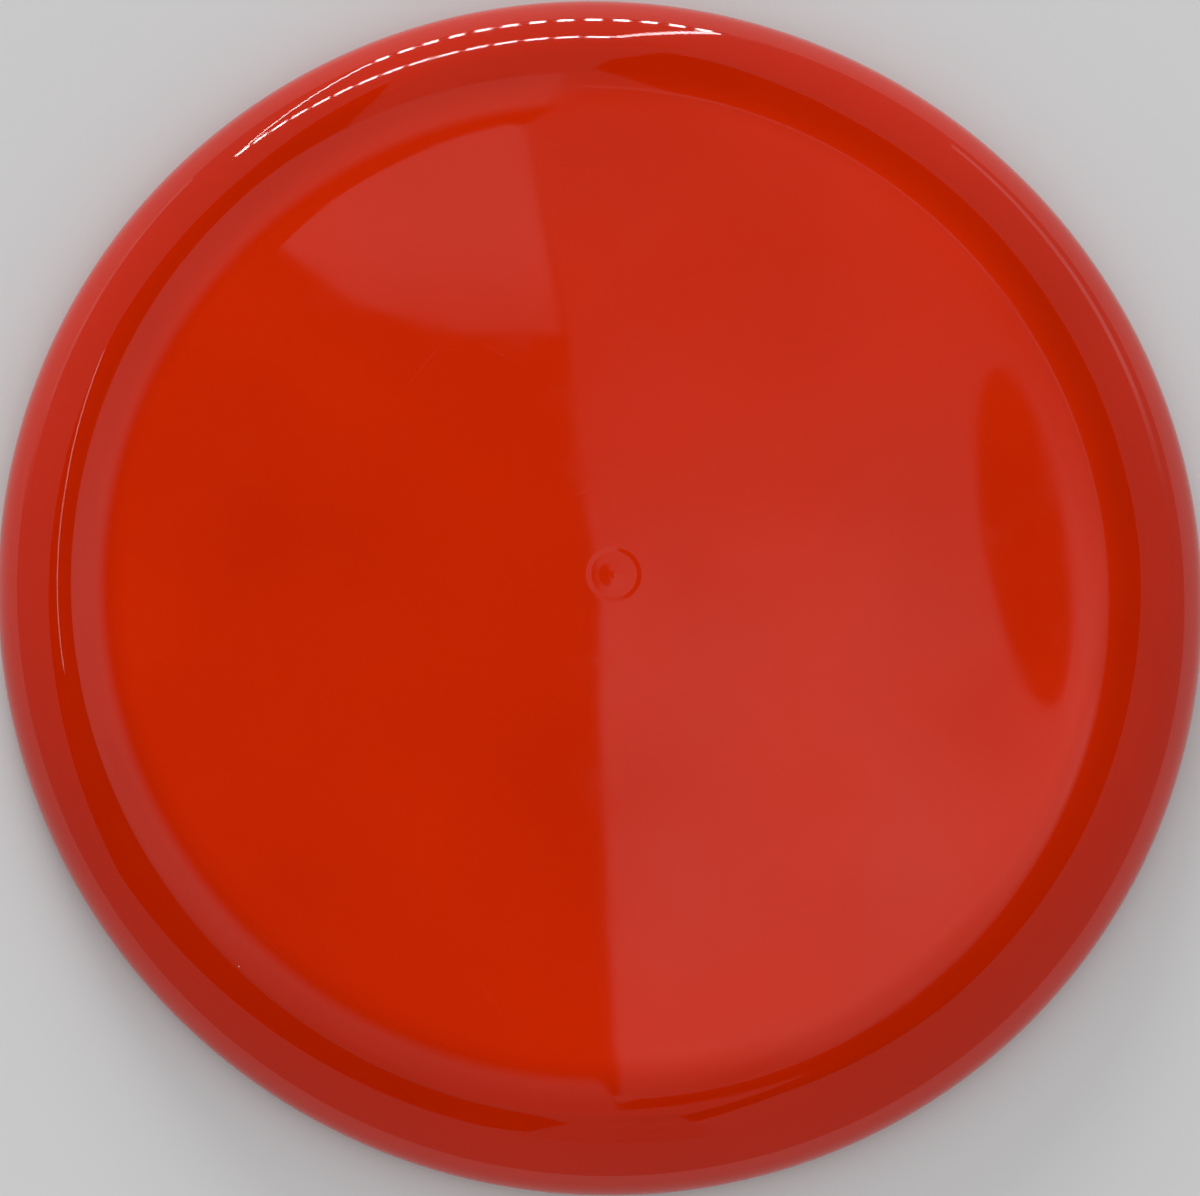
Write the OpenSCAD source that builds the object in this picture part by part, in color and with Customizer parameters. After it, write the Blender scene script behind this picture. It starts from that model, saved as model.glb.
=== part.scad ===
// Golf flying disc: a thin domed flight plate keyed into a thick grip rim.
// The disc lies flat, rim down. +Z is its spin axis, and the origin is the
// centre of the plane that the rim rests on.
// Each part is turned from half of its cross-section. The outside of the two
// together is a chain of arcs that run into each other without a corner.

/* [Overall] */
// Outside diameter
disc_d = 212; // [176:1:255]
// Height from the resting plane to the top of the dome
disc_h = 19.2; // [17:0.1:23.5]

/* [Flight plate] */
// Thickness of the plate
plate_t = 1.9; // [1.6:0.1:2.4]
// Rise of the dome from its edge to its centre
dome_h = 1.4; // [0.6:0.1:2.4]
// Width of the ring that eases the dome into the shoulder
ease_w = 11.2; // [9:0.1:13.5]

/* [Rim] */
// Width of the shoulder, from where it starts to the widest point of the disc
shoulder_w = 13.8; // [11.5:0.1:16]
// Slope of the top where the shoulder starts, in degrees
shoulder_slope = 10; // [8:0.5:12]
// Slope where the shoulder gives way to the tighter nose, in degrees
nose_slope = 50; // [44:1:58]
// Radius of the nose above its widest point
nose_r = 9.5; // [7.9:0.1:11.4]
// Radius of the heel under the widest point
heel_r = 3; // [2.4:0.1:3.6]
// Width of the rim, from the inner wall to the widest point
rim_w = 13.8; // [12.6:0.1:16]
// Width of the flat ring that the disc rests on
land_w = 2.6; // [1.5:0.1:4]
// Radius of the rim's inner bottom corner
lip_r = 1.5; // [0.8:0.1:2.2]
// Radius of the fillet between the inner wall and the plate
root_r = 4.5; // [3:0.1:5.4]

/* [Joint between plate and rim] */
// Distance from the widest point to the seam on top
seam_w = 12.2; // [11:0.1:13.2]
// Thickness of the rim's ledge under the edge of the plate
ledge_t = 0.9; // [0.6:0.1:1.1]
// Thickness of the plate over the ledge, next to the seam
cover_t = 1.2; // [1:0.1:1.5]
// Width of the key that hangs into the rim's groove
key_w = 2.5; // [1.5:0.1:3]
// Height of the key
key_h = 0.7; // [0.5:0.1:1.2]

/* [Gate mark] */
// Diameter of the sunk circle where the plastic was let in
gate_d = 9.8; // [6:0.1:14]
// Depth of the sunk circle
gate_depth = 0.2; // [0.1:0.05:0.4]
// Diameter of the nub left in its middle
nub_d = 1.8; // [1:0.1:3]
// Height of the nub above the floor of the circle
nub_h = 0.15; // [0.05:0.05:0.2]
// Diameter of the sprue stub in the middle of the underside
stub_d = 3.2; // [2:0.1:5]
// Height of the sprue stub
stub_h = 0.5; // [0.2:0.1:1]

/* [Hidden] */

$fn = 180;
facet_angle = 2.5;     // turn of the outline from one facet of an arc to the next
least_facets = 6;      // facets of an arc that turns very little
plate_color = "#CB2A0C";
rim_color = "#C4270C";

// radii at which the top changes from one arc to the next
disc_r = disc_d / 2;
shoulder_start_r = disc_r - shoulder_w;
dome_edge_r = shoulder_start_r - ease_w;

// radii of the arcs themselves, set by the widths and slopes they have to span
dome_r = (pow(dome_edge_r, 2) + pow(dome_h, 2)) / (2 * dome_h);
dome_slope = asin(dome_edge_r / dome_r);
ease_r = ease_w / (sin(shoulder_slope) - sin(dome_slope));
shoulder_r = (shoulder_w - nose_r * (1 - sin(nose_slope)))
           / (sin(nose_slope) - sin(shoulder_slope));

// heights of the same changes
dome_edge_z = disc_h - dome_h;
shoulder_start_z = dome_edge_z - ease_r * (cos(dome_slope) - cos(shoulder_slope));
nose_start_z = shoulder_start_z - shoulder_r * (cos(shoulder_slope) - cos(nose_slope));
nose_z = nose_start_z - nose_r * cos(nose_slope);

// arc centres, as [radius, height]
dome_c = [0, disc_h - dome_r];
ease_c = on_arc([dome_edge_r, dome_edge_z], -ease_r, dome_slope);
shoulder_c = on_arc([shoulder_start_r, shoulder_start_z], -shoulder_r, shoulder_slope);
nose_c = [disc_r - nose_r, nose_z];

// the heel is a round that a straight flank touches on its way to the land
wall_r = disc_r - rim_w;
land_out_r = wall_r + lip_r + land_w;
heel_fit_r = min(heel_r, 0.8 * nose_z);
heel_c = [disc_r - heel_fit_r, nose_z];
heel_from_land = heel_c - [land_out_r, 0];
flank_slope = atan2(heel_from_land[1], heel_from_land[0])
            - asin(heel_fit_r / norm(heel_from_land));
lip_c = [wall_r + lip_r, lip_r];

// the underside runs parallel to the top until the root fillet meets it
root_c_r = wall_r - root_r;
root_c = [root_c_r, ease_c[1]
       + sqrt(pow(ease_r - plate_t - root_r, 2) - pow(root_c_r - ease_c[0], 2))];
root_slope = asin((root_c_r - ease_c[0]) / (ease_r - plate_t - root_r));
root_end = on_arc(ease_c, ease_r - plate_t, root_slope);

// the seam on top lies on the shoulder
seam_r = disc_r - seam_w;
seam_slope = asin((seam_r - shoulder_c[0]) / shoulder_r);
seam_z = on_arc(shoulder_c, shoulder_r, seam_slope)[1];
ledge_out = [seam_r - key_w, seam_z - cover_t];
key_bottom_z = ledge_out[1] - key_h;

// the point of a circle where it slopes down and outwards by the given angle:
// 0 is its top, 90 its outermost point, 180 its bottom and -90 its innermost point
function on_arc(center, r, slope) = center + r * [sin(slope), cos(slope)];

// points along the arc of a circle from one slope to another
function arc(center, r, from, to) =
    let (facets = max(least_facets, ceil(abs(to - from) / facet_angle)))
    [for (i = [0 : facets]) on_arc(center, r, from + (to - from) * i / facets)];

// half of the plate's cross-section: along the top to the seam, round the key,
// and back along the underside
module plate_section() {
    polygon(concat(
        arc(dome_c, dome_r, 0, dome_slope),
        arc(ease_c, ease_r, dome_slope, shoulder_slope),
        arc(shoulder_c, shoulder_r, shoulder_slope, seam_slope),
        [[seam_r, key_bottom_z], [ledge_out[0], key_bottom_z], ledge_out,
         root_end + [0, ledge_t]],
        arc(ease_c, ease_r - plate_t, root_slope, dome_slope),
        arc(dome_c, dome_r - plate_t, dome_slope, 0)));
}

// half of the rim's cross-section: down the outside from the seam, along the
// bottom, up the inner wall and back over the ledge and the groove
module rim_section() {
    polygon(concat(
        arc(shoulder_c, shoulder_r, seam_slope, nose_slope),
        arc(nose_c, nose_r, nose_slope, 90),
        arc(heel_c, heel_fit_r, 90, 180 - flank_slope),
        [[land_out_r, 0]],
        arc(lip_c, lip_r, 180, 270),
        arc(root_c, root_r, 90, root_slope),
        [root_end + [0, ledge_t], ledge_out, [ledge_out[0], key_bottom_z],
         [seam_r, key_bottom_z]]));
}

module flight_plate() {
    color(plate_color) {
        difference() {
            rotate_extrude() plate_section();
            translate([0, 0, disc_h - gate_depth]) cylinder(d = gate_d, h = plate_t);
        }
        translate([0, 0, disc_h - plate_t / 2])
            cylinder(d = nub_d, h = plate_t / 2 - gate_depth + nub_h);
        translate([0, 0, disc_h - plate_t - stub_h])
            cylinder(d = stub_d, h = stub_h + plate_t / 2);
    }
}

module rim() {
    color(rim_color) rotate_extrude() rim_section();
}

flight_plate();
rim();
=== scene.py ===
import bpy
import math
from mathutils import Matrix, Vector


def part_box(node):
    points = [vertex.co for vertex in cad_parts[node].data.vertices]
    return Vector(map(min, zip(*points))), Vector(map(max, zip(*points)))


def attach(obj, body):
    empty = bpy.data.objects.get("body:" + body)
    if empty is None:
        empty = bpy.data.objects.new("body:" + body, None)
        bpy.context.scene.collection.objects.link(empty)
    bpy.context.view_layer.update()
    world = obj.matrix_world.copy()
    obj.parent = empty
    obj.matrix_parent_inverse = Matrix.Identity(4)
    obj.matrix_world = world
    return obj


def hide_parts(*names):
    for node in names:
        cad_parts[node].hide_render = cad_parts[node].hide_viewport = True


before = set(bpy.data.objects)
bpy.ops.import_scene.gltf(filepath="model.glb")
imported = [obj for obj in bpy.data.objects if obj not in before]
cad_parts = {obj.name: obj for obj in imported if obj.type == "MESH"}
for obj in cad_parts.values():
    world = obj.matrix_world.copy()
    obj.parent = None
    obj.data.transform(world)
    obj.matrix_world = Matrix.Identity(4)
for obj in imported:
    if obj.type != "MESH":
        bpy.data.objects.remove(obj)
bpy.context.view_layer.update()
print("stage: frame loaded")

mm = 0.001
sameSpot = 1e-6              # mm; points nearer than this are one
sameNormal = 0.9995          # cosine; normals nearer than this run smoothly over an edge
noiseSpan = (0.3, 0.7)       # where most values of a noise lie

# the disc's own form, in millimetres and degrees; its diameter and height come from the frame
discForm = {
    "plateThickness": 1.9,
    "domeRise": 1.4,
    "easeWidth": 11.2,        # ring that eases the dome into the shoulder
    "shoulderWidth": 13.8,
    "shoulderSlope": 10.0,    # slope of the top where the shoulder starts
    "noseSlope": 50.0,        # slope where the shoulder gives way to the nose
    "noseRadius": 9.5,
    "heelRadius": 3.0,
    "rimWidth": 13.8,
    "landWidth": 2.6,
    "lipRadius": 1.5,
    "rootRadius": 4.5,
    "seamFromEdge": 12.2,
    "ledgeThickness": 0.9,
    "coverThickness": 1.2,
    "keyWidth": 2.5,
    "keyHeight": 0.7,
    "turns": 384,             # faces around the disc
    "arcStep": 1.0,           # degrees between rings on a tight arc
    "finestRing": 0.15,       # mm, the least on a tight arc
    "ringStep": 1.6,          # mm, the most on a wide arc
    "leastRings": 3,          # on any arc
}


# The cross-section's outline is a chain of spans. A point of a span is its radius and height, then
# the radius and height of its normal.
def onArc(centre, radius, slope):
    # slope 0 is the top of the circle, 90 its outermost point
    a = math.radians(slope)
    return (centre[0] + radius * math.sin(a), centre[1] + radius * math.cos(a))


def arcSpan(centre, radius, start, end, outward=1):
    # points with their true normals, so that highlights run smoothly over the rings
    length = abs(math.radians(end - start)) * radius
    byTurn = min(abs(end - start) / discForm["arcStep"], length / discForm["finestRing"])
    byLength = length / discForm["ringStep"]
    steps = max(discForm["leastRings"], math.ceil(byTurn), math.ceil(byLength))
    span = []
    for i in range(steps + 1):
        slope = start + (end - start) * i / steps
        a = math.radians(slope)
        r, z = onArc(centre, radius, slope)
        span.append((max(r, 0.0), z, outward * math.sin(a), outward * math.cos(a)))
    return span


def lineSpan(p, q):
    # the outside lies to the left of the way from p to q
    length = math.dist(p, q)
    nr, nz = -(q[1] - p[1]) / length, (q[0] - p[0]) / length
    return [(p[0], p[1], nr, nz), (q[0], q[1], nr, nz)]


def lineSpans(points):
    # the straight lines from each point to the next
    return [lineSpan(p, q) for p, q in zip(points, points[1:])]


def curveSpan(height, start, end, step, outward=1):
    # a stretch of the top or the underside given as height over radius
    steps = math.ceil(abs(end - start) / step)
    probe = 0.01     # mm to each side, to measure the slope
    span = []
    for i in range(steps + 1):
        r = start + (end - start) * i / steps
        rise = 0.0
        if r > probe:
            rise = (height(r + probe) - height(r - probe)) / (2 * probe)
        length = math.hypot(1.0, rise)
        span.append((r, height(r), -outward * rise / length, outward / length))
    return span


def smoothStep(x, edge0, edge1):
    t = min(1.0, max(0.0, (x - edge0) / (edge1 - edge0)))
    return t * t * (3 - 2 * t)


def discOutline(form, discRadius, discHeight):
    # every radius and height that the outlines of plate and rim share
    shape = dict(form)
    shape["shoulderStart"] = discRadius - shape["shoulderWidth"]
    shape["domeEdge"] = shape["shoulderStart"] - shape["easeWidth"]
    shape["domeRadius"] = (shape["domeEdge"] ** 2 + shape["domeRise"] ** 2) / (2 * shape["domeRise"])
    shape["domeSlope"] = math.degrees(math.asin(shape["domeEdge"] / shape["domeRadius"]))
    # a unit arc's radius and height at each slope where one arc gives way to the next
    domeX, domeZ = onArc((0.0, 0.0), 1.0, shape["domeSlope"])
    shoulderX, shoulderZ = onArc((0.0, 0.0), 1.0, shape["shoulderSlope"])
    noseX, noseZ = onArc((0.0, 0.0), 1.0, shape["noseSlope"])
    shape["easeRadius"] = shape["easeWidth"] / (shoulderX - domeX)
    noseWidth = shape["noseRadius"] * (1 - noseX)
    shape["shoulderRadius"] = (shape["shoulderWidth"] - noseWidth) / (noseX - shoulderX)
    domeEdgeHeight = discHeight - shape["domeRise"]
    shoulderHeight = domeEdgeHeight - shape["easeRadius"] * (domeZ - shoulderZ)
    noseStart = shoulderHeight - shape["shoulderRadius"] * (shoulderZ - noseZ)
    shape["noseHeight"] = noseStart - shape["noseRadius"] * noseZ
    shape["domeCentre"] = (0.0, discHeight - shape["domeRadius"])
    shape["easeCentre"] = onArc((shape["domeEdge"], domeEdgeHeight),
                                -shape["easeRadius"], shape["domeSlope"])
    shape["shoulderCentre"] = onArc((shape["shoulderStart"], shoulderHeight),
                                    -shape["shoulderRadius"], shape["shoulderSlope"])
    shape["noseCentre"] = (discRadius - shape["noseRadius"], shape["noseHeight"])

    shape["wall"] = discRadius - shape["rimWidth"]
    shape["landOuter"] = shape["wall"] + shape["lipRadius"] + shape["landWidth"]
    shape["heelCentre"] = (discRadius - shape["heelRadius"], shape["noseHeight"])
    across, up = shape["heelCentre"][0] - shape["landOuter"], shape["heelCentre"][1]
    towardsHeel = math.atan2(up, across) - math.asin(shape["heelRadius"] / math.hypot(across, up))
    shape["flankSlope"] = math.degrees(towardsHeel)
    shape["lipCentre"] = (shape["wall"] + shape["lipRadius"], shape["lipRadius"])

    innerEase = shape["easeRadius"] - shape["plateThickness"]
    rootAcross = shape["wall"] - shape["rootRadius"] - shape["easeCentre"][0]
    reach = innerEase - shape["rootRadius"]
    rootHeight = shape["easeCentre"][1] + math.sqrt(reach ** 2 - rootAcross ** 2)
    shape["rootCentre"] = (shape["wall"] - shape["rootRadius"], rootHeight)
    shape["rootSlope"] = math.degrees(math.asin(rootAcross / reach))
    shape["rootEnd"] = onArc(shape["easeCentre"], innerEase, shape["rootSlope"])

    shape["seam"] = discRadius - shape["seamFromEdge"]
    seamAcross = shape["seam"] - shape["shoulderCentre"][0]
    shape["seamSlope"] = math.degrees(math.asin(seamAcross / shape["shoulderRadius"]))
    seamHeight = onArc(shape["shoulderCentre"], shape["shoulderRadius"], shape["seamSlope"])[1]
    ledgeHeight = seamHeight - shape["coverThickness"]
    keyInner = shape["seam"] - shape["keyWidth"]
    keyBottom = ledgeHeight - shape["keyHeight"]
    ledgeEdge = (shape["rootEnd"][0], shape["rootEnd"][1] + shape["ledgeThickness"])
    # where plate and rim meet: down from the seam, round the key and in over the ledge
    shape["joint"] = [(shape["seam"], seamHeight), (shape["seam"], keyBottom), (keyInner, keyBottom),
                      (keyInner, ledgeHeight), ledgeEdge, shape["rootEnd"]]
    return shape


def revolve(name, spans, closed):
    # turns the spans about +Z; spans that meet with one normal stay smooth, others get a crisp edge
    rings = []
    pairs = []
    for span in spans:
        for i, point in enumerate(span):
            if i == 0 and rings and math.dist(rings[-1][:2], point[:2]) < sameSpot:
                continue
            rings.append(point)
            if i > 0:
                pairs.append((len(rings) - 2, len(rings) - 1, span[i - 1][2:], point[2:]))
    if closed:
        rings.pop()
        pairs[-1] = (pairs[-1][0], 0, pairs[-1][2], pairs[-1][3])
    turns = discForm["turns"]
    verts = []
    firstVert = []
    for r, z, nr, nz in rings:
        firstVert.append(len(verts))
        if r < sameSpot:
            verts.append((0.0, 0.0, z * mm))
            continue
        for t in range(turns):
            a = 2 * math.pi * t / turns
            verts.append((r * math.cos(a) * mm, r * math.sin(a) * mm, z * mm))
    onAxis = [r < sameSpot for r, z, nr, nz in rings]
    faces = []
    normals = []
    for i, j, ni, nj in pairs:
        for t in range(turns):
            u = (t + 1) % turns
            corners = [(i, t, ni), (j, t, nj), (j, u, nj), (i, u, ni)]
            if onAxis[i]:
                corners.pop(3)
            elif onAxis[j]:
                corners.pop(2)
            face = []
            for ring, turn, normal in corners:
                a = 2 * math.pi * (t + 0.5 if onAxis[ring] else turn) / turns
                face.append(firstVert[ring] + (0 if onAxis[ring] else turn))
                normals.append((normal[0] * math.cos(a), normal[0] * math.sin(a), normal[1]))
            faces.append(face)
    mesh = bpy.data.meshes.new(name)
    mesh.from_pydata(verts, [], faces)
    mesh.polygons.foreach_set("use_smooth", [True] * len(faces))
    markCorners(mesh, normals)
    mesh.normals_split_custom_set(normals)
    piece = bpy.data.objects.new(name, mesh)
    bpy.context.scene.collection.objects.link(piece)
    return piece


def markCorners(mesh, normals):
    # an edge is sharp where the normals of its two faces differ at one of its ends
    seen = {}
    for polygon in mesh.polygons:
        loops = list(polygon.loop_indices)
        for k, loop in enumerate(loops):
            edge = mesh.loops[loop].edge_index
            after = loops[(k + 1) % len(loops)]
            ends = {mesh.loops[loop].vertex_index: normals[loop],
                    mesh.loops[after].vertex_index: normals[after]}
            if edge not in seen:
                seen[edge] = ends
                continue
            for vert, normal in seen[edge].items():
                other = ends[vert]
                if sum(a * b for a, b in zip(normal, other)) < sameNormal:
                    mesh.edges[edge].use_edge_sharp = True


def toLinear(hexColour):
    # sRGB hex to the linear values that shader sockets take
    out = []
    for i in (1, 3, 5):
        value = int(hexColour[i:i + 2], 16) / 255
        out.append(value / 12.92 if value <= 0.04045 else ((value + 0.055) / 1.055) ** 2.4)
    return (*out, 1.0)


def addNode(tree, kind, settings=None, inputs=None):
    # settings are node properties; inputs are socket values, or (node, output) pairs that are linked
    node = tree.nodes.new(kind)
    for key, value in (settings or {}).items():
        setattr(node, key, value)
    for key, value in (inputs or {}).items():
        socket = node.inputs[key]
        if isinstance(value, tuple) and isinstance(value[0], bpy.types.Node):
            tree.links.new(value[0].outputs[value[1]], socket)
        else:
            socket.default_value = value
    return node


def newMaterial(name):
    material = bpy.data.materials.new(name)
    material.use_nodes = True
    material.node_tree.nodes.clear()
    return material, material.node_tree


# Polyurethane with a red pigment, injection moulded in a polished steel mould. It gives the eye
# a wet gloss over a saturated red body, a lighter thin plate that lets some light through, a
# deeper thick rim whose colour also holds painted shade, and the slight ripple of plastic that shrank off
# the steel.
plastic = {
    "seed": 1.3,                  # one for both pieces, so that patches run over the seam
    "thinColour": "#CE2702",      # plate, where some light comes through
    "thickColourWithPaintedShade": "#BA2000",     # rim: the thick plastic's own deeper red, darkened further with painted shade
    "thinUntil": 83.0,            # mm from the axis, where the wall starts to thicken
    "thickFrom": 91.5,            # mm from the axis, where the full rim stands behind the surface and the rim's colour, painted shade included, is full
    "pigmentDrift": 0.05,         # share by which the pigment's strength wanders
    "pigmentDriftSize": 45.0,     # mm, one cloud of it
    "ior": 1.5,                   # polyurethane
    "roughness": 0.035,           # polished half of the mould
    "undersideRoughness": 0.22,   # what the other half adds, left as it was turned
    "undersideFrom": 0.1,         # height of the normal, from here
    "undersideFull": -0.3,        # to here
    "scuffRoughness": 0.05,       # more where it was rubbed
    "scuffSize": 9.0,             # mm between rubbed patches
    "scuffSpan": (0.52, 0.8),     # of the noise, from no rubbing to all of it
    "rippleSize": 30.0,           # mm, the long ripple in the reflections
    "rippleDepth": 0.016,         # mm
    "peelSize": 2.6,              # mm; real orange peel is finer, drawn this coarse so that it shows
    "peelDepth": 0.0002,          # mm
    "turningStep": 1.1,           # mm between the cutter's rings on the underside
    "turningDepth": 0.0012,       # mm
    "dustColour": "#D9A79A",      # lint and dust that the static holds
    "dustCell": 11.0,             # mm from one place for a speck to the next
    "dustSize": 0.17,             # mm, radius of a speck
    "dustShare": 0.3,             # how many of the places hold a speck
    "hairlineCell": 34.0,         # mm between hairline scratches
    "hairlineWidth": 0.06,        # mm; real ones are finer, drawn this wide so that they show
    "hairlineBreak": 13.0,        # mm, patches that break the scratches up
    "hairlineFrom": 0.66,         # of the noise, above which a scratch shows
    "hairlineRoughness": 0.12,
    "glowRadius": (5.5, 0.9, 0.35),   # mm that red, green and blue travel inside the plastic
    "glowWeight": 0.12,
}


def mouldedPolyurethane(name):
    material, tree = newMaterial(name)
    place = addNode(tree, "ShaderNodeTexCoord")

    def cloud(size, offset, detail):
        # noise whose lumps are the given size in millimetres; each offset is another draw of it
        return addNode(tree, "ShaderNodeTexNoise", {"noise_dimensions": "4D"},
                       {"Vector": (place, "Object"), "W": plastic["seed"] + offset, "Detail": detail,
                        "Scale": 1 / (size * mm)})

    # the body colour: deeper over the rim, partly as painted shade, lighter on the plate, never quite even
    flat = addNode(tree, "ShaderNodeVectorMath", {"operation": "MULTIPLY"},
                   {0: (place, "Object"), 1: (1 / mm, 1 / mm, 0.0)})
    fromAxis = addNode(tree, "ShaderNodeVectorMath", {"operation": "LENGTH"}, {0: (flat, 0)})
    # how much of the rim's colour, with its painted shade, each place takes
    wall = addNode(tree, "ShaderNodeMapRange", {"interpolation_type": "SMOOTHSTEP"},
                   {"Value": (fromAxis, 1), "From Min": plastic["thinUntil"],
                    "From Max": plastic["thickFrom"]})
    body = addNode(tree, "ShaderNodeMix", {"data_type": "RGBA"},
                   {0: (wall, 0), 6: toLinear(plastic["thinColour"]),
                    7: toLinear(plastic["thickColourWithPaintedShade"])})
    strength = addNode(tree, "ShaderNodeMapRange", None,
                       {"Value": (cloud(plastic["pigmentDriftSize"], 0.0, 2.0), 0),
                        "From Min": noiseSpan[0], "From Max": noiseSpan[1],
                        "To Min": 1 - plastic["pigmentDrift"], "To Max": 1 + plastic["pigmentDrift"]})
    evenBody = addNode(tree, "ShaderNodeVectorMath", {"operation": "SCALE"},
                       {0: (body, 2), "Scale": (strength, 0)})

    # dust: a speck in some of the cells
    cells = addNode(tree, "ShaderNodeTexVoronoi", None,
                    {"Vector": (place, "Object"), "Scale": 1 / (plastic["dustCell"] * mm)})
    speck = addNode(tree, "ShaderNodeMath", {"operation": "LESS_THAN"},
                    {0: (cells, "Distance"), 1: plastic["dustSize"] / plastic["dustCell"]})
    chosen = addNode(tree, "ShaderNodeSeparateColor", None, {"Color": (cells, "Color")})
    held = addNode(tree, "ShaderNodeMath", {"operation": "LESS_THAN"},
                   {0: (chosen, 0), 1: plastic["dustShare"]})
    dust = addNode(tree, "ShaderNodeMath", {"operation": "MULTIPLY"}, {0: (speck, 0), 1: (held, 0)})
    colour = addNode(tree, "ShaderNodeMix", {"data_type": "RGBA"},
                     {0: (dust, 0), 6: (evenBody, 0), 7: toLinear(plastic["dustColour"])})

    # gloss: rubbed patches, a few hairlines and a duller underside
    rubbed = addNode(tree, "ShaderNodeMapRange", None,
                     {"Value": (cloud(plastic["scuffSize"], 3.0, 5.0), 0),
                      "From Min": plastic["scuffSpan"][0], "From Max": plastic["scuffSpan"][1],
                      "To Min": plastic["roughness"],
                      "To Max": plastic["roughness"] + plastic["scuffRoughness"]})
    lines = addNode(tree, "ShaderNodeTexVoronoi", {"feature": "DISTANCE_TO_EDGE"},
                    {"Vector": (place, "Object"), "Scale": 1 / (plastic["hairlineCell"] * mm)})
    nearLine = addNode(tree, "ShaderNodeMath", {"operation": "LESS_THAN"},
                       {0: (lines, 0), 1: plastic["hairlineWidth"] / plastic["hairlineCell"]})
    partly = addNode(tree, "ShaderNodeMath", {"operation": "GREATER_THAN"},
                     {0: (cloud(plastic["hairlineBreak"], 9.0, 1.0), 0),
                      1: plastic["hairlineFrom"]})
    hairline = addNode(tree, "ShaderNodeMath", {"operation": "MULTIPLY"},
                       {0: (nearLine, 0), 1: (partly, 0)})
    worn = addNode(tree, "ShaderNodeMath", {"operation": "MULTIPLY_ADD"},
                   {0: (hairline, 0), 1: plastic["hairlineRoughness"], 2: (rubbed, 0)})
    facing = addNode(tree, "ShaderNodeSeparateXYZ", None, {0: (place, "Normal")})
    below = addNode(tree, "ShaderNodeMapRange", None,
                    {"Value": (facing, 2), "From Min": plastic["undersideFrom"],
                     "From Max": plastic["undersideFull"]})
    gloss = addNode(tree, "ShaderNodeMath", {"operation": "MULTIPLY_ADD"},
                    {0: (below, 0), 1: plastic["undersideRoughness"], 2: (worn, 0)})

    # relief: long ripple, orange peel, and the cutter's rings on the underside
    ripple = addNode(tree, "ShaderNodeBump", None,
                     {"Height": (cloud(plastic["rippleSize"], 5.0, 1.0), 0), "Strength": 1.0,
                      "Distance": plastic["rippleDepth"] * mm})
    peel = addNode(tree, "ShaderNodeBump", None,
                   {"Height": (cloud(plastic["peelSize"], 7.0, 1.0), 0), "Strength": 1.0,
                    "Distance": plastic["peelDepth"] * mm, "Normal": (ripple, 0)})
    phase = addNode(tree, "ShaderNodeMath", {"operation": "MULTIPLY"},
                    {0: (fromAxis, 1), 1: 2 * math.pi / plastic["turningStep"]})
    rings = addNode(tree, "ShaderNodeMath", {"operation": "SINE"}, {0: (phase, 0)})
    ringsBelow = addNode(tree, "ShaderNodeMath", {"operation": "MULTIPLY"},
                         {0: (rings, 0), 1: (below, 0)})
    surface = addNode(tree, "ShaderNodeBump", None,
                      {"Height": (ringsBelow, 0), "Strength": 1.0,
                       "Distance": plastic["turningDepth"] * mm, "Normal": (peel, 0)})
    shader = addNode(tree, "ShaderNodeBsdfPrincipled", {"subsurface_method": "RANDOM_WALK"},
                     {"Base Color": (colour, 2), "Roughness": (gloss, 0), "IOR": plastic["ior"],
                      "Normal": (surface, 0), "Subsurface Weight": plastic["glowWeight"],
                      "Subsurface Radius": tuple(v * mm for v in plastic["glowRadius"]),
                      "Subsurface Scale": 1.0})
    addNode(tree, "ShaderNodeOutputMaterial", None, {"Surface": (shader, "BSDF")})
    return material


gateMark = {                  # mm; what the gate and the mould's round insert leave in the middle
    "dishRadius": 4.9,        # sunk circle on top
    "dishDepth": 0.02,
    "dishSlope": 1.0,         # width of the slope down into it
    "moundTop": 0.6,          # radius of the flat top of the low mound inside it
    "moundRadius": 2.7,
    "moundHeight": 0.012,
    "nubRadius": 0.75,        # where the gate broke off
    "nubHeight": 0.03,        # above the mound
    "nubSlope": 0.6,
    "insertRadius": 15.0,     # faint line of the mould's insert
    "insertWidth": 0.28,
    "insertDepth": 0.0022,
    "stubRadius": 1.6,        # sprue stub on the underside
    "stubHeight": 0.5,
    "stubSlope": 0.35,
    # out to each radius, the step from ring to ring
    "topRings": [(6.0, 0.1), (14.0, 0.8), (16.0, 0.1), (18.0, 0.5)],
    "underRings": (3.0, 0.12),
}


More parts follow.
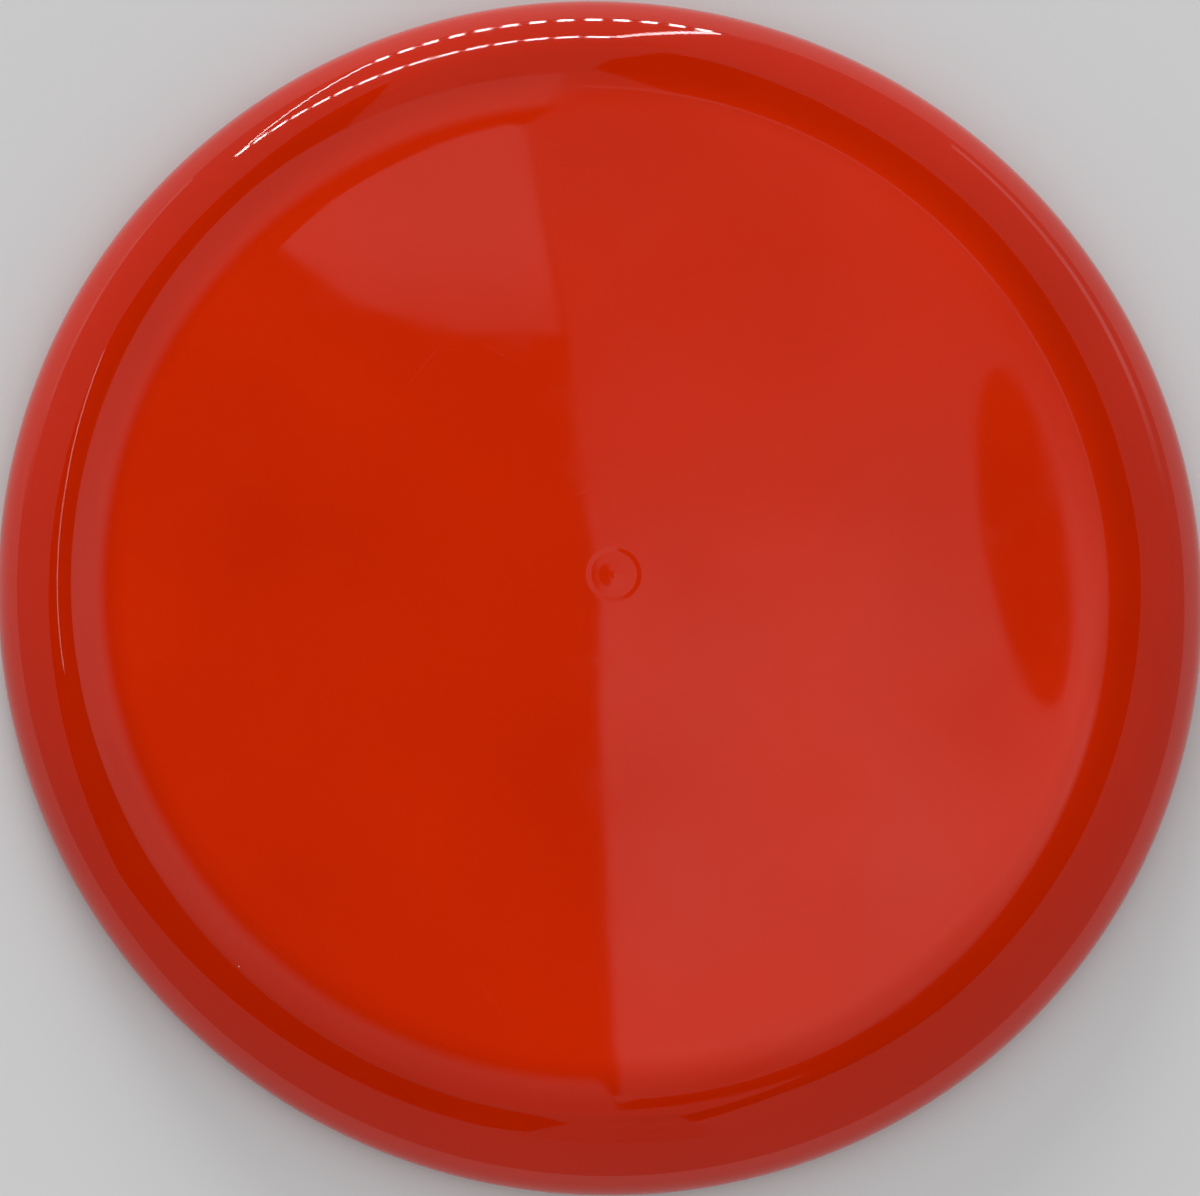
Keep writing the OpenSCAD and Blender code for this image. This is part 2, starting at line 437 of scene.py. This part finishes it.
def makeFlightPlate(shape):
    def domeHeight(r):
        return shape["domeCentre"][1] + math.sqrt(shape["domeRadius"] ** 2 - r ** 2)

    def gateHeight(r):
        dishFloor = gateMark["dishRadius"] - gateMark["dishSlope"]
        nubTop = gateMark["nubRadius"] - gateMark["nubSlope"]
        fromInsert = (r - gateMark["insertRadius"]) / gateMark["insertWidth"]
        dish = -gateMark["dishDepth"] * (1 - smoothStep(r, dishFloor, gateMark["dishRadius"]))
        mound = gateMark["moundHeight"] * (1 - smoothStep(r, gateMark["moundTop"], gateMark["moundRadius"]))
        nub = gateMark["nubHeight"] * (1 - smoothStep(r, nubTop, gateMark["nubRadius"]))
        insert = -gateMark["insertDepth"] * math.exp(-fromInsert ** 2)
        return domeHeight(r) + dish + mound + nub + insert

    def underHeight(r):
        inner = shape["domeRadius"] - shape["plateThickness"]
        stubTip = gateMark["stubRadius"] - gateMark["stubSlope"]
        plain = shape["domeCentre"][1] + math.sqrt(inner ** 2 - r ** 2)
        return plain - gateMark["stubHeight"] * (1 - smoothStep(r, stubTip, gateMark["stubRadius"]))

    innerEase = shape["easeRadius"] - shape["plateThickness"]
    innerDome = shape["domeRadius"] - shape["plateThickness"]
    underReach, underStep = gateMark["underRings"]
    spans = []
    topReach = 0.0
    for end, step in gateMark["topRings"]:
        spans.append(curveSpan(gateHeight, topReach, end, step))
        topReach = end
    topSlope = math.degrees(math.asin(topReach / shape["domeRadius"]))
    underSlope = math.degrees(math.asin(underReach / innerDome))
    spans += [
        arcSpan(shape["domeCentre"], shape["domeRadius"], topSlope, shape["domeSlope"]),
        arcSpan(shape["easeCentre"], shape["easeRadius"], shape["domeSlope"], shape["shoulderSlope"]),
        arcSpan(shape["shoulderCentre"], shape["shoulderRadius"],
                shape["shoulderSlope"], shape["seamSlope"]),
        *lineSpans(shape["joint"]),
        arcSpan(shape["easeCentre"], innerEase, shape["rootSlope"], shape["domeSlope"], -1),
        arcSpan(shape["domeCentre"], innerDome, shape["domeSlope"], underSlope, -1),
        curveSpan(underHeight, underReach, 0.0, underStep, -1),
    ]
    plate = revolve("flightPlate", spans, closed=False)
    plate.data.materials.append(mouldedPolyurethane("mouldedPolyurethanePlate"))
    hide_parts("flight_plate")
    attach(plate, "root")


def makeRim(shape):
    flank = onArc(shape["heelCentre"], shape["heelRadius"], 180 - shape["flankSlope"])
    landOuter = (shape["landOuter"], 0.0)
    landInner = (shape["wall"] + shape["lipRadius"], 0.0)
    wallLow = (shape["wall"], shape["lipRadius"])
    wallHigh = (shape["wall"], shape["rootCentre"][1])
    spans = [
        arcSpan(shape["shoulderCentre"], shape["shoulderRadius"], shape["seamSlope"], shape["noseSlope"]),
        arcSpan(shape["noseCentre"], shape["noseRadius"], shape["noseSlope"], 90),
        arcSpan(shape["heelCentre"], shape["heelRadius"], 90, 180 - shape["flankSlope"]),
        *lineSpans([flank, landOuter, landInner]),
        arcSpan(shape["lipCentre"], shape["lipRadius"], 180, 270),
        lineSpan(wallLow, wallHigh),
        arcSpan(shape["rootCentre"], shape["rootRadius"], 90, shape["rootSlope"], -1),
        *lineSpans(shape["joint"][::-1]),
    ]
    rim = revolve("gripRim", spans, closed=True)
    rim.data.materials.append(mouldedPolyurethane("mouldedPolyurethaneRim"))
    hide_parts("rim")
    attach(rim, "root")


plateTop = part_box("flight_plate")[1].z / mm
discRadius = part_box("rim")[1].x / mm
# the CAD plate is highest at the edge of its sunk circle, where the dome has already fallen a little
domeRadius = discOutline(discForm, discRadius, plateTop)["domeRadius"]
gateFall = gateMark["dishRadius"] ** 2 / (2 * domeRadius)
outline = discOutline(discForm, discRadius, plateTop + gateFall)
makeFlightPlate(outline)
print("stage: flight plate")
makeRim(outline)
print("stage: rim")


studio = {
    "floorColour": "#D2D2D3",
    "floorSize": 6.0,            # m
    "backdrop": 0.66,            # what a camera ray sees past the floor
    "softFill": 0.77,            # even light from all round, for all but the gloss
    "tentWall": 0.26,            # the tent's walls, as the gloss sees them
    "darkLevel": 1e-4,           # the dark frame and openings
    "cloudScale": 6.0,           # clouds per metre in the tent's cloth
    "ringSteps": 64,             # faces along a sheet that is part of a ring
}


def flatMesh(name, corners, faces):
    mesh = bpy.data.meshes.new(name)
    mesh.from_pydata(corners, [], faces)
    sheet = bpy.data.objects.new(name, mesh)
    bpy.context.scene.collection.objects.link(sheet)
    return sheet


def makeFloor():
    half = studio["floorSize"] / 2
    corners = [(-half, -half, 0), (half, -half, 0), (half, half, 0), (-half, half, 0)]
    floor = flatMesh("studioFloor", corners, [(0, 1, 2, 3)])
    material, tree = newMaterial("paperSweep")
    shader = addNode(tree, "ShaderNodeBsdfDiffuse", None, {"Color": toLinear(studio["floorColour"])})
    addNode(tree, "ShaderNodeOutputMaterial", None, {"Surface": (shader, "BSDF")})
    floor.data.materials.append(material)


def makeWorld():
    world = bpy.data.worlds.new("softTent")
    bpy.context.scene.world = world
    world.use_nodes = True
    tree = world.node_tree
    tree.nodes.clear()
    ray = addNode(tree, "ShaderNodeLightPath")
    fill = addNode(tree, "ShaderNodeMix", {"data_type": "FLOAT"},
                   {0: (ray, "Is Glossy Ray"), 2: studio["softFill"], 3: studio["tentWall"]})
    level = addNode(tree, "ShaderNodeMix", {"data_type": "FLOAT"},
                    {0: (ray, "Is Camera Ray"), 2: (fill, 0), 3: studio["backdrop"]})
    background = addNode(tree, "ShaderNodeBackground", None,
                         {"Color": (1, 1, 1, 1), "Strength": (level, 0)})
    addNode(tree, "ShaderNodeOutputWorld", None, {"Surface": (background, "Background")})


def litCloth(name, stops, cloudiness=0.0, fade=None):
    # tent cloth with light behind it: the stops give its brightness at places along Y, and fade
    # gives the middle of an opening and the two radii between which the cloth comes up from dark
    material, tree = newMaterial(name)
    place = addNode(tree, "ShaderNodeTexCoord")
    split = addNode(tree, "ShaderNodeSeparateXYZ", None, {0: (place, "Object")})
    first, last = stops[0][0], stops[-1][0]
    brightest = max(level for y, level in stops)
    along = addNode(tree, "ShaderNodeMapRange", None,
                    {"Value": (split, 1), "From Min": first, "From Max": last})
    ramp = addNode(tree, "ShaderNodeValToRGB", None, {0: (along, 0)})
    ramp.color_ramp.interpolation = "EASE"
    for y, level in stops[1:-1]:
        ramp.color_ramp.elements.new((y - first) / (last - first))
    for element, (y, level) in zip(ramp.color_ramp.elements, stops):
        element.color = (level / brightest,) * 3 + (1.0,)
    cloud = addNode(tree, "ShaderNodeTexNoise", None,
                    {"Vector": (place, "Object"), "Scale": studio["cloudScale"], "Detail": 3.0})
    drift = addNode(tree, "ShaderNodeMapRange", None,
                    {"Value": (cloud, 0), "From Min": noiseSpan[0], "From Max": noiseSpan[1],
                     "To Min": brightest * (1 - cloudiness), "To Max": brightest * (1 + cloudiness)})
    strength = addNode(tree, "ShaderNodeMath", {"operation": "MULTIPLY"},
                       {0: (ramp, 0), 1: (drift, 0)})
    if fade:
        middle, inner, outer = fade
        away = addNode(tree, "ShaderNodeVectorMath", {"operation": "DISTANCE"},
                       {0: (place, "Object"), 1: middle})
        rise = addNode(tree, "ShaderNodeMapRange", {"interpolation_type": "SMOOTHSTEP"},
                       {"Value": (away, 1), "From Min": inner, "From Max": outer})
        strength = addNode(tree, "ShaderNodeMath", {"operation": "MULTIPLY"},
                           {0: (strength, 0), 1: (rise, 0)})
    glow = addNode(tree, "ShaderNodeEmission", None, {"Strength": (strength, 0)})
    addNode(tree, "ShaderNodeOutputMaterial", None, {"Surface": (glow, 0)})
    material.cycles.emission_sampling = "NONE"
    return material


def onlyInGloss(sheet, material):
    # seen in reflections and nowhere else, so that it neither lights nor shades the disc
    sheet.data.materials.append(material)
    sheet.visible_camera = False
    sheet.visible_diffuse = False
    sheet.visible_transmission = False
    sheet.visible_shadow = False


def outlineSheet(name, corners, height, material):
    sheet = flatMesh(name, [(x, y, height) for x, y in corners], [tuple(range(len(corners)))])
    onlyInGloss(sheet, material)


def arcPoints(centre, radius, turn, steps):
    # the radius goes from its first to its second value over the turn, which is in degrees
    points = []
    for i in range(steps + 1):
        t = i / steps
        a = math.radians(turn[0] + (turn[1] - turn[0]) * t)
        r = radius[0] + (radius[1] - radius[0]) * t
        points.append((centre[0] + r * math.cos(a), centre[1] + r * math.sin(a)))
    return points


def ringSheet(name, centre, inner, outer, turn, height, material):
    # part of a flat ring between two arcs
    steps = studio["ringSteps"]
    corners = []
    for near, far in zip(arcPoints(centre, inner, turn, steps), arcPoints(centre, outer, turn, steps)):
        corners += [(*near, height), (*far, height)]
    faces = [(2 * i, 2 * i + 1, 2 * i + 3, 2 * i + 2) for i in range(steps)]
    onlyInGloss(flatMesh(name, corners, faces), material)


def makeCeiling():
    # the top of the tent: lit cloth within a dark frame, round a dark opening. Metres and degrees;
    # each glow is a list of places along Y and the cloth's brightness there.
    ceiling = {
        "height": 1.0,
        "layer": 0.01,                        # from one sheet to the next
        "middle": (0.04, 0.09),
        "frameCorners": [(0.78, 0.25), (0.56, 0.62), (0.42, 0.80), (0.30, 1.15), (-0.30, 1.60),
                         (-0.58, 1.02), (-1.00, 0.83), (-1.35, 0.18), (-1.70, -0.84),
                         (-0.64, -1.10), (-0.20, -1.20), (0.20, -0.95), (0.34, -0.54),
                         (0.57, -0.39), (0.70, -0.10)],
        # the right cloth runs from the back to the front, and its edge ends over the disc
        "rightRadius": (0.50, 0.40),
        "rightTurn": (86, -82),
        "rightSteps": 48,
        "rightEdge": [(0.105, -0.34), (0.094, -0.043), (0.088, 0.104), (0.0875, 0.165),
                      (0.078, 0.214), (0.073, 0.291), (0.051, 0.403)],
        "rightGlow": [(-0.30, 0.24), (-0.10, 0.52), (0.06, 0.68), (0.32, 0.20)],
        "rightCloudiness": 0.30,
        "hemWidth": 0.012,
        "hemGlow": [(-0.3, 0.30), (0.3, 0.45)],
        "hemCloudiness": 0.1,
        "slitSize": (0.021, 0.086),           # half its width and half its length
        "slitMiddle": (0.298, 0.190),
        "slitLean": 0.13,                     # sideways for each metre along
        "slitPoints": 32,
        # the left cloth goes round the opening, from the back to the front
        "leftRadius": (0.60, 0.68),
        "leftTurn": (88, 278),
        "leftGlow": [(-0.40, 0.22), (-0.05, 0.50), (0.15, 0.62), (0.45, 0.42)],
        "leftCloudiness": 0.08,
        "openingMiddle": (0.035, 0.13),
        "openingRadius": 0.33,
        "openingFade": 0.07,
        "underCloth": 0.7,                    # share of the opening that the cloth reaches in, unlit
        "patchCorners": [(-0.076, 0.339), (-0.055, 0.376), (-0.010, 0.400), (0.029, 0.440),
                         (0.051, 0.403), (0.069, 0.291), (0.020, 0.290), (-0.033, 0.304)],
        "patchGlow": [(0.27, 0.26), (0.345, 0.55), (0.44, 0.45)],
        # two bridges cross the dark frame, one at the back and one at the front
        "backBridge": [(-0.13, 0.50), (0.20, 0.50), (0.09, 0.72), (0.38, 1.70), (-0.42, 1.70)],
        "frontBridge": [(-0.08, -0.42), (0.30, -0.33), (0.20, -0.58), (0.44, -1.30),
                        (-0.12, -1.30), (0.04, -0.70)],
        "bridgeGlow": [(0.0, 0.20), (1.0, 0.22)],
        "clothCloudiness": 0.15,              # of the patch and the bridges
        # a bright slit between two cloths, far to the left
        "gapCorners": [(-1.015, 0.75), (-0.93, 0.38), (-0.955, 0.20), (-0.965, 0.02),
                       (-0.94, 0.02), (-0.93, 0.20), (-0.905, 0.38), (-0.99, 0.75)],
        "gapBrightness": 3.6,
    }
    height = ceiling["height"]
    layer = ceiling["layer"]
    dark = litCloth("darkFrame", [(0.0, studio["darkLevel"]), (1.0, studio["darkLevel"])])
    outlineSheet("darkFrame", ceiling["frameCorners"], height + 2 * layer, dark)

    rightCloth = litCloth("rightCloth", ceiling["rightGlow"], ceiling["rightCloudiness"])
    rightArc = arcPoints(ceiling["middle"], ceiling["rightRadius"], ceiling["rightTurn"],
                         ceiling["rightSteps"])
    outlineSheet("rightCloth", ceiling["rightEdge"] + rightArc, height, rightCloth)
    hem = litCloth("clothHem", ceiling["hemGlow"], ceiling["hemCloudiness"])
    hemRadius = [r + ceiling["hemWidth"] for r in ceiling["rightRadius"]]
    ringSheet("clothHem", ceiling["middle"], ceiling["rightRadius"], hemRadius, ceiling["rightTurn"],
              height - layer / 2, hem)

    slit = []
    for i in range(ceiling["slitPoints"]):
        a = 2 * math.pi * i / ceiling["slitPoints"]
        across = ceiling["slitSize"][0] * math.cos(a)
        along = ceiling["slitSize"][1] * math.sin(a)
        slit.append((ceiling["slitMiddle"][0] + across - ceiling["slitLean"] * along,
                     ceiling["slitMiddle"][1] + along + ceiling["slitLean"] * across))
    outlineSheet("darkSlit", slit, height - 2 * layer, dark)

    opening = ceiling["openingRadius"]
    fade = ((*ceiling["openingMiddle"], height), opening, opening + ceiling["openingFade"])
    leftCloth = litCloth("leftCloth", ceiling["leftGlow"], ceiling["leftCloudiness"], fade)
    reach = (opening, ceiling["underCloth"] * opening)
    ringSheet("leftCloth", ceiling["middle"], reach, ceiling["leftRadius"], ceiling["leftTurn"],
              height, leftCloth)
    patch = litCloth("openingPatch", ceiling["patchGlow"], ceiling["clothCloudiness"])
    outlineSheet("openingPatch", ceiling["patchCorners"], height, patch)

    bridge = litCloth("bridgeCloth", ceiling["bridgeGlow"], ceiling["clothCloudiness"])
    outlineSheet("backBridge", ceiling["backBridge"], height + layer, bridge)
    outlineSheet("frontBridge", ceiling["frontBridge"], height + layer, bridge)
    gapLight = litCloth("clothGap", [(0.0, ceiling["gapBrightness"]), (1.0, ceiling["gapBrightness"])])
    outlineSheet("clothGap", ceiling["gapCorners"], height - 2 * layer, gapLight)


def makeWallGlow():
    # the side walls, lit where lamps stand behind them; metres
    glow = {
        "along": (0.4, 2.2),           # from the front to the back
        "full": 1.0,                   # where it reaches its full brightness
        "brightness": 0.85,
        "cloudiness": 0.2,
        "walls": [
            {"name": "leftGlow", "x": -1.6, "bottom": 0.01, "top": 0.13},
            {"name": "rightGlow", "x": 1.6, "bottom": 0.27, "top": 0.46},
        ],
    }
    start, end = glow["along"]
    stops = [(start, studio["tentWall"]), (glow["full"], glow["brightness"]), (end, glow["brightness"])]
    for wall in glow["walls"]:
        corners = [(wall["x"], start, wall["bottom"]), (wall["x"], end, wall["bottom"]),
                   (wall["x"], end, wall["top"]), (wall["x"], start, wall["top"])]
        cloth = litCloth(wall["name"], stops, glow["cloudiness"])
        onlyInGloss(flatMesh(wall["name"], corners, [(0, 1, 2, 3)]), cloth)


def makeLampFrame():
    # a frame of small lamps behind the disc, which the rim mirrors as dashes; metres
    lampFrame = {
        "distance": 1.2,
        "corners": [(0.30, 0.06), (0.12, 0.60), (-0.74, 0.43), (-0.36, 0.06)],    # x and height
        "lampsPerSide": [15, 15, 15, 13],
        "lampSizes": [(0.026, 0.022), (0.042, 0.050), (0.026, 0.018), (0.028, 0.060)],
        "brightness": 24.0,
    }
    corners = []
    faces = []
    places = lampFrame["corners"]
    for side, count in enumerate(lampFrame["lampsPerSide"]):
        (x0, z0), (x1, z1) = places[side], places[(side + 1) % 4]
        width, tall = lampFrame["lampSizes"][side]
        for i in range(count):
            t = (i + 0.5) / count
            x, z = x0 + (x1 - x0) * t, z0 + (z1 - z0) * t
            first = len(corners)
            for dx, dz in ((-0.5, -0.5), (0.5, -0.5), (0.5, 0.5), (-0.5, 0.5)):
                corners.append((x + dx * width, lampFrame["distance"], z + dz * tall))
            faces.append(tuple(range(first, first + 4)))
    lit = litCloth("lampDots", [(0.0, lampFrame["brightness"]), (1.0, lampFrame["brightness"])])
    onlyInGloss(flatMesh("lampFrame", corners, faces), lit)


def makeKeyLamp():
    key = {
        "from": (-0.22, 1.0, 0.27),
        "strength": 1.75,
        "softness": 24.0,              # degrees that the lamp spans
    }
    lamp = bpy.data.lights.new("keyLamp", "SUN")
    lamp.energy = key["strength"]
    lamp.angle = math.radians(key["softness"])
    sun = bpy.data.objects.new("keyLamp", lamp)
    bpy.context.scene.collection.objects.link(sun)
    sun.rotation_euler = (-Vector(key["from"])).to_track_quat("-Z", "Y").to_euler()
    sun.visible_camera = False
    sun.visible_glossy = False


def makeCamera():
    shot = {
        "towardsCamera": (-0.0923, -0.1644, 0.9821),
        "distance": 1.0,                 # m
        "sensorWidth": 36.0,             # mm
        "focalLength": 171.1,            # mm
        "nearest": 0.01,                 # m, from where the camera sees
        "aimSideways": -0.95,            # mm from the disc's middle
        "aimUp": -1.6,
    }
    lens = bpy.data.cameras.new("camera")
    camera = bpy.data.objects.new("camera", lens)
    bpy.context.scene.collection.objects.link(camera)
    lens.sensor_width = shot["sensorWidth"]
    lens.lens = shot["focalLength"]
    lens.clip_start = shot["nearest"]
    back = Vector(shot["towardsCamera"]).normalized()
    right = Vector((0, 1, 0)).cross(back).normalized()     # +Y is up in the picture
    up = back.cross(right)
    middle = Vector((0, 0, outline["noseHeight"] * mm))
    aim = middle + right * shot["aimSideways"] * mm + up * shot["aimUp"] * mm
    camera.location = aim + back * shot["distance"]
    camera.rotation_euler = Matrix((right, up, back)).transposed().to_euler()
    bpy.context.scene.camera = camera


makeFloor()
makeWorld()
makeCeiling()
makeWallGlow()
makeLampFrame()
makeKeyLamp()
makeCamera()
bpy.context.scene.view_settings.view_transform = "Standard"
print("stage: studio")
